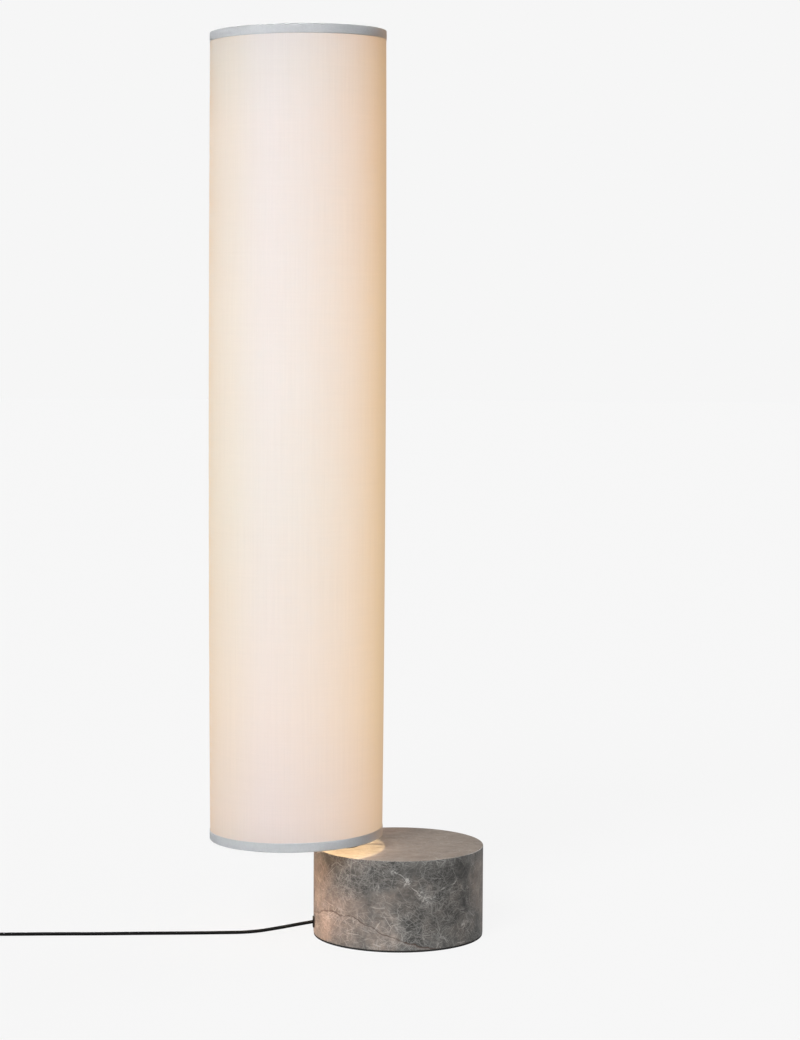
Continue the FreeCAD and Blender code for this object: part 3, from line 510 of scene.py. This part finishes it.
MATERIALS = {
    "stone": marble(), "shade_fabric": shade_cloth(), "shade_liner": inner_sheet(), "trim_tape": tape(),
    "white_wire": speckled("white_wire", (0.66, 0.64, 0.60), 0.38, 900, 0.0001, vary=0.04, strength=0.15),
    "black_metal": speckled("black_metal", (0.020, 0.019, 0.018), 0.42, 1100, 0.00012, wear=0.25),
    "steel": brushed("steel", (0.56, 0.56, 0.55), 0.34), "brass": brushed("brass", (0.62, 0.44, 0.20), 0.30),
    "black_plastic": speckled("black_plastic", (0.011, 0.0095, 0.0088), 0.52, 1300, 0.00018, strength=0.5, spec=0.32),
    "switch_plastic": speckled("switch_plastic", (0.020, 0.020, 0.0205), 0.48, 1300, 0.0002, strength=0.55),
    "switch_button": speckled("switch_button", (0.045, 0.045, 0.046), 0.40, 900, 0.0001, strength=0.25),
    "white_plastic": speckled("white_plastic", (0.78, 0.77, 0.73), 0.42, 1200, 0.0001, vary=0.03, strength=0.2),
    "ceramic": speckled("ceramic", (0.80, 0.79, 0.75), 0.18, 500, 0.00008, vary=0.03, strength=0.15),
    "bulb_metal": brushed("bulb_metal", (0.70, 0.68, 0.64), 0.24), "bulb_glass": lit_glass(),
    "pin_metal": brushed("pin_metal", (0.74, 0.73, 0.70), 0.20, (60, 1, 1)),
    "cord": sheath(), "harness": speckled("harness", (0.55, 0.55, 0.54), 0.5, 1200, 0.0001, vary=0.05),
    "tie": webbing(), "rubber_pad": speckled("rubber_pad", (0.018, 0.018, 0.018), 0.85, 700, 0.0003, strength=0.6),
}
SLOT_OF = {s["node"]: s["material_slot"] for s in frame["record"]["subparts"]}


def dress(obj, name):
    obj.data.materials.clear()
    obj.data.materials.append(MATERIALS[name])


for node, obj in NODES.items():
    dress(obj, SLOT_OF[node])


# ---------------------------------------------------------------- mesh helpers
def mesh_object(name, verts, faces, slot_name, smooth=True):
    me = bpy.data.meshes.new(name)
    me.from_pydata([tuple(v) for v in verts], [], faces)
    me.validate()
    me.update()
    if smooth:
        for p in me.polygons:
            p.use_smooth = True
    ob = bpy.data.objects.new(name, me)
    SCENE.collection.objects.link(ob)
    me.materials.append(MATERIALS[slot_name])
    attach(ob, LAMP)
    return ob


def sharpen(ob, degrees=35):
    """Marks the edges that are sharper than this, so that smooth shading stops at them."""
    bm = bmesh.new()
    bm.from_mesh(ob.data)
    for e in bm.edges:
        if len(e.link_faces) == 2 and e.calc_face_angle(0.0) > math.radians(degrees):
            e.smooth = False
    bm.to_mesh(ob.data)
    bm.free()


# ---------------------------------------------------------------- the free cord
ROUTE_A = [
    (-0.1155, 0.0, 0.0179), (-0.132, 0.0014, 0.0152), (-0.160, 0.0066, 0.0093), (-0.196, 0.0133, 0.0028),
    (-0.238, 0.0171, 0.0023), (-0.290, 0.0209, 0.0023), (-0.346, 0.0263, 0.0023), (-0.402, 0.0302, 0.0023),
    (-0.456, 0.0365, 0.0023), (-0.508, 0.0410, 0.0023), (-0.540, 0.0436, 0.0024), (-0.560, 0.0450, 0.0052),
    (-0.578, 0.0452, 0.0052),
]
ROUTE_B = [(-0.654, 0.0452, 0.0052), (-0.667, 0.0452, 0.0052), (-0.684, 0.0450, 0.0034), (-0.702, 0.0451, 0.0031)]
ROUTE_C = [
    (-0.7368, 0.0140, 0.0160), (-0.7370, 0.0010, 0.0150), (-0.7352, -0.0124, 0.0119), (-0.7310, -0.0251, 0.0084),
    (-0.7285, -0.0345, 0.0069), (-0.7282, -0.0440, 0.00685),
]
COIL = Vector((-0.706, 0.0142, 0.0))


def coil_points():
    """Turns laid beside and on each other: three across, four high. Each turn crosses to its next place between 20 and 80 degrees."""
    rings = (0.0310, 0.0263, 0.0216)
    levels = (0.0031, 0.00743, 0.01177, 0.0161)
    seats = []
    for k, z in enumerate(levels):
        for r in (rings if k % 2 == 0 else rings[::-1]):
            seats.append((r, z))
    out, step = [], 22.5
    a = 90.0 + step
    last = 180.0 + 360 * 11
    while a < last - 1:
        k = int((a - 80.0) // 360)
        into = a - 80.0 - 360 * k
        r, z = seats[k]
        if into > 300 and k + 1 < len(seats):
            t = (into - 300) / 60.0
            nr, nz = seats[k + 1]
            u = min(1.0, t * 2) if nz != z else 1.0
            z = z + (nz - z) * (u * u * (3 - 2 * u))
            w = max(0.0, t * 2 - 1)
            r = r + (nr - r) * (w * w * (3 - 2 * w))
        r = r / 0.981 + 0.00012 * math.sin(a * 0.031) + 0.00008 * math.sin(a * 0.0173 + 1)
        q = math.radians(a)
        out.append((COIL.x + r * math.cos(q), COIL.y + r * math.sin(q), z))
        a += step
    return out


def make_spring():
    """The button's return spring, whose lower end stays on the mechanism: a copy of its mesh as an object of its own,
    in steel.
    """
    ob = bpy.data.objects.new("return_spring", NODES["switch_spring"].data.copy())
    SCENE.collection.objects.link(ob)
    dress(ob, "steel")
    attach(ob, LAMP)
    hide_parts("switch_spring")
    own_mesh(ob)
    return ob


def make_cord():
    curve = bpy.data.curves.new("power_cord_run", "CURVE")
    curve.dimensions = "3D"
    curve.resolution_u = 8
    curve.bevel_depth = CORD_D / 2
    curve.bevel_resolution = 5
    curve.use_fill_caps = True
    points = ROUTE_A + ROUTE_B + coil_points() + ROUTE_C
    spline = curve.splines.new("NURBS")
    spline.points.add(len(points) - 1)
    for p, q in zip(spline.points, points):
        p.co = (*q, 1.0)
    spline.order_u = 3
    spline.use_endpoint_u = True
    ob = bpy.data.objects.new("power_cord_run", curve)
    SCENE.collection.objects.link(ob)
    curve.materials.append(MATERIALS["cord"])
    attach(ob, LAMP)
    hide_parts("power_cord", "power_cord_link", "power_cord_tail", "cord_coil")
    ([NODES[n] for n in (
                "plug_body", "plug_pins", "plug_strain_relief", "cord_tie", "switch_base", "switch_cover", "switch_button",
                "switch_mechanism", "switch_screws", "switch_feet")] + [make_spring()])


make_cord()

# ---------------------------------------------------------------- shade
FRONT_N = 288


def belly(z):
    """How far the sheet stands out of its rim radius at height z."""
    t = (z - SHADE_Z0) / (SHADE_Z1 - SHADE_Z0) * 2 - 1
    return (R_MID - R_END) * (1 - t * t)


def make_fabric():
    """One strip of cloth wound round the sheet, its end lapped over its start at the back."""
    lap = 2 * math.pi * 0.010 / (2 * math.pi * R_END)
    rows = 97
    z0, z1 = SHADE_Z0 + 0.0004, SHADE_Z1 - 0.0004
    reach = R_END - FABRIC_T
    start = math.pi / 2 - lap / 2
    columns = []
    n = FRONT_N
    for i in range(n + 1):
        columns.append((start + 2 * math.pi * i / n, 0.0 if i < n else 0.00006))
    extra = 8
    for i in range(1, extra + 1):
        t = i / extra
        columns.append((start + 2 * math.pi + lap * t, FABRIC_T + 0.00008))
    verts, faces = [], []
    for side in (0, 1):
        for a, lift in columns:
            low, high = z0 + SLOPE_BOTTOM * reach * math.cos(a), z1 + SLOPE_TOP * reach * math.cos(a)
            for j in range(rows):
                z = low + (high - low) * j / (rows - 1)
                ripple = 0.00010 * noise.noise(Vector((a * 2.1, z * 3.0, 4.0))) * math.sin(math.pi * j / (rows - 1))
                # the lap starts with a short ramp, so the strip has no step in its own plane
                r = R_END + belly(z) + lift + ripple - (FABRIC_T if side else 0.0)
                verts.append((SHADE_X + r * math.cos(a), r * math.sin(a), z))
    m = len(columns)

    def at(side, i, j):
        return (side * m + i) * rows + j

    for i in range(m - 1):
        for j in range(rows - 1):
            faces.append((at(0, i, j), at(0, i + 1, j), at(0, i + 1, j + 1), at(0, i, j + 1)))
            faces.append((at(1, i, j), at(1, i, j + 1), at(1, i + 1, j + 1), at(1, i + 1, j)))
        faces.append((at(0, i, 0), at(1, i, 0), at(1, i + 1, 0), at(0, i + 1, 0)))
        faces.append((at(0, i, rows - 1), at(0, i + 1, rows - 1), at(1, i + 1, rows - 1), at(1, i, rows - 1)))
    for i in (0, m - 1):
        for j in range(rows - 1):
            q = (at(0, i, j), at(0, i, j + 1), at(1, i, j + 1), at(1, i, j))
            faces.append(q if i == 0 else q[::-1])
    ob = mesh_object("shade_cloth", verts, faces, "shade_fabric")
    sharpen(ob)
    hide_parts("shade_fabric")
    return ob, (2 * math.pi * (R_END + 0.0013) + 0.010, z1 - z0)


cloth, cloth_cut = make_fabric()


def make_trim(name, node, zr, slope, s):
    """Woven edge tape folded over the sloping rim, its walls going the way of s. Its ends are lapped at the back."""
    t = 0.00045
    ri = R_END - FABRIC_T - LINER_T
    sec = []                                       # outline of the folded tape: radius, distance from the rim

    def outer(d):
        return R_END + belly(zr + s * d)

    # up the outside, over its soft edge, down its inside face, over the rim and back
    for d in (TRIM_H - 0.0004, TRIM_H - 0.0015, 0.0085, 0.006, 0.0035, 0.0012, 0.0005):
        swell = 0.00010 * math.sin(math.pi * (d / TRIM_H))
        sec.append((outer(d) + t + swell, d))
    sec += [(outer(0) + t * 0.75, 0.00014), (outer(0) + t * 0.2, 0.0), (ri + 0.0002, 0.0), (ri - t * 0.6, 0.00012), (ri - t * 0.9, 0.0004),
            (ri - t * 0.9, 0.0012), (ri - t * 0.5, 0.0015), (ri, 0.0014), (ri, 0.0004), (outer(0), 0.0004)]
    for d in (0.0035, 0.006, 0.0085, TRIM_H - 0.0015, TRIM_H - 0.0003):
        sec.append((outer(d) + 0.00002, d))
    sec.append((outer(TRIM_H) + t * 0.5, TRIM_H))
    n, extra = FRONT_N, 8
    lap = 0.012 / R_END
    start = math.pi / 2 - lap / 2
    verts, faces = [], []
    for i in range(n + extra + 1):
        if i <= n:
            a, lift = start + 2 * math.pi * i / n, 0.0
        else:
            a, lift = start + 2 * math.pi + lap * (i - n) / extra, 0.00035
        wave = 0.00012 * noise.noise(Vector((math.cos(a) * 3, math.sin(a) * 3, zr * 10)))
        for r, d in sec:
            out = r + (lift if r > R_END - FABRIC_T else -lift * 0.5)
            dd = d + (wave if d > 0.011 else 0.0)
            verts.append((SHADE_X + out * math.cos(a), out * math.sin(a), zr + slope * R_END * math.cos(a) + s * dd))
    k = len(sec)
    for i in range(n + extra):
        for j in range(k):
            a, b = i * k + j, i * k + (j + 1) % k
            c, d = (i + 1) * k + (j + 1) % k, (i + 1) * k + j
            faces.append((a, b, c, d) if s > 0 else (a, d, c, b))
    first, last = list(range(k)), [(n + extra) * k + j for j in range(k)]
    faces.append(first[::-1] if s > 0 else first)
    faces.append(last if s > 0 else last[::-1])
    ob = mesh_object(name, verts, faces, "trim_tape")
    bm = bmesh.new()
    bm.from_mesh(ob.data)
    bmesh.ops.recalc_face_normals(bm, faces=bm.faces)
    bm.to_mesh(ob.data)
    bm.free()
    sharpen(ob, 50)
    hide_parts(node)
    return ob


tapes = [make_trim("edge_tape_bottom", "shade_bottom_trim", SHADE_Z0, SLOPE_BOTTOM, 1),
         make_trim("edge_tape_top", "shade_top_trim", SHADE_Z1, SLOPE_TOP, -1)]


# ---------------------------------------------------------------- floor, backdrop and light
WHITE = 0.922


def stage():
    bm = bmesh.new()
    rings, n = (0.0, 0.4, 0.9, 1.8, 3.5, 7.0, 14.0, 24.0), 96
    centre = bm.verts.new((0, 0, 0))
    before = None
    for r in rings[1:]:
        ring = [bm.verts.new((r * math.cos(2 * math.pi * i / n), r * math.sin(2 * math.pi * i / n), 0)) for i in range(n)]
        for i in range(n):
            if before is None:
                bm.faces.new((centre, ring[i], ring[(i + 1) % n]))
            else:
                bm.faces.new((before[i], ring[i], ring[(i + 1) % n], before[(i + 1) % n]))
        before = ring
    me = bpy.data.meshes.new("floor")
    bm.to_mesh(me)
    bm.free()
    floor = bpy.data.objects.new("floor", me)
    SCENE.collection.objects.link(floor)
    g = Mat("floor")
    soft = g.map(g.noise(2.5, 3, 0.5), 0.3, 0.7, 0.995, 1.005)
    g.set(base=g.mix(1.0, (FLOOR_BASE,) * 3, g.join(soft, soft, soft), "MULTIPLY"), rough=1.0, spec=0.0, emit=(1, 1, 1), glow=FLOOR_GLOW)
    me.materials.append(g.m)
    bm = bmesh.new()
    bmesh.ops.create_icosphere(bm, subdivisions=5, radius=22.0)
    for f in bm.faces:
        f.normal_flip()
        f.smooth = True
    me = bpy.data.meshes.new("backdrop")
    bm.to_mesh(me)
    bm.free()
    dome = bpy.data.objects.new("backdrop", me)
    SCENE.collection.objects.link(dome)
    g = Mat("backdrop")
    g.set(base=(0, 0, 0), rough=1.0, spec=0.0, emit=(1, 1, 1), glow=WHITE)
    me.materials.append(g.m)
    for ob in (floor, dome):
        ob.visible_diffuse = ob.visible_glossy = ob.visible_transmission = False
    dome.visible_shadow = False


FLOOR_BASE, FLOOR_GLOW = 0.05, 0.866


def only_for(light, name, leave_out=(), take=()):
    """Keeps a light off some objects, or gives it to some objects only."""
    group = bpy.data.collections.new(name)
    for ob in tuple(leave_out) + tuple(take):
        group.objects.link(ob)
    for entry in group.collection_objects:
        entry.light_linking.link_state = "EXCLUDE" if leave_out else "INCLUDE"
    light.light_linking.receiver_collection = group


def sun(name, azimuth, elevation, strength, angle, colour=(1, 1, 1)):
    """A wide distant light. Azimuth 0 comes from -Y, and rises towards +X."""
    data = bpy.data.lights.new(name, "SUN")
    data.energy = strength
    data.angle = math.radians(angle)
    data.color = colour
    ob = bpy.data.objects.new(name, data)
    SCENE.collection.objects.link(ob)
    a, e = math.radians(azimuth), math.radians(elevation)
    towards = Vector((math.sin(a) * math.cos(e), -math.cos(a) * math.cos(e), math.sin(e)))
    ob.rotation_mode = "QUATERNION"
    ob.rotation_quaternion = towards.to_track_quat("Z", "Y")
    ob.location = towards * 4
    return ob


def lighting():
    world = bpy.data.worlds.new("studio")
    SCENE.world = world
    world.use_nodes = True
    back = world.node_tree.nodes.get("Background") or world.node_tree.nodes.new("ShaderNodeBackground")
    back.inputs["Color"].default_value = (1, 1, 1, 1)
    back.inputs["Strength"].default_value = 0.22
    sun("key", -30, 34, 3.0, 26)
    cloth = [bpy.data.objects[n] for n in ("shade_cloth", "edge_tape_bottom", "edge_tape_top")]
    only_for(sun("top", 40, 72, 0.9, 50), "not_top", leave_out=cloth)
    only_for(sun("rim", 124, 20, 1.45, 40), "not_rim", leave_out=cloth)
    only_for(sun("behind", 172, 5, 1.5, 14), "not_behind", leave_out=[NODES["marble_base"]])
    floor = bpy.data.objects["floor"]
    for k, z in enumerate(BULB_Z):
        data = bpy.data.lights.new("bulb_%d" % k, "POINT")
        data.energy = (4.75, 1.4, 1.4)[k]
        data.color = (1.0, 0.83, 0.50)
        data.shadow_soft_size = 0.010
        ob = bpy.data.objects.new("bulb_light_%d" % k, data)
        SCENE.collection.objects.link(ob)
        ob.location = (SHADE_X, 0, z)
        only_for(ob, "not_bulb_%d" % k, leave_out=[floor])
        # the slim stem throws no clear shadow, because the frosted bulbs and the sheet light the stone from all round it
        group = bpy.data.collections.new("no_shadow_%d" % k)
        for node in ("stem_tube", "stem_flange"):
            group.objects.link(NODES[node])
        for entry in group.collection_objects:
            entry.light_linking.link_state = "EXCLUDE"
        ob.light_linking.blocker_collection = group
    # light thrown back onto the stone by the floor under the shade's mouth
    data = bpy.data.lights.new("from_floor", "AREA")
    data.shape = "DISK"
    data.size = 0.20
    data.energy = 0.42
    data.color = (1.0, 0.61, 0.41)
    ob = bpy.data.objects.new("from_floor", data)
    SCENE.collection.objects.link(ob)
    ob.location = (SHADE_X - 0.06, -0.01, 0.001)
    ob.rotation_euler = (math.pi, 0, 0)
    ob.visible_camera = ob.visible_glossy = False
    only_for(ob, "from_floor_for", take=[NODES["marble_base"], NODES["cord_gland"]])
    for node in NODES:
        if node.startswith("bulb_glass"):
            NODES[node].visible_shadow = False


stage()
lighting()
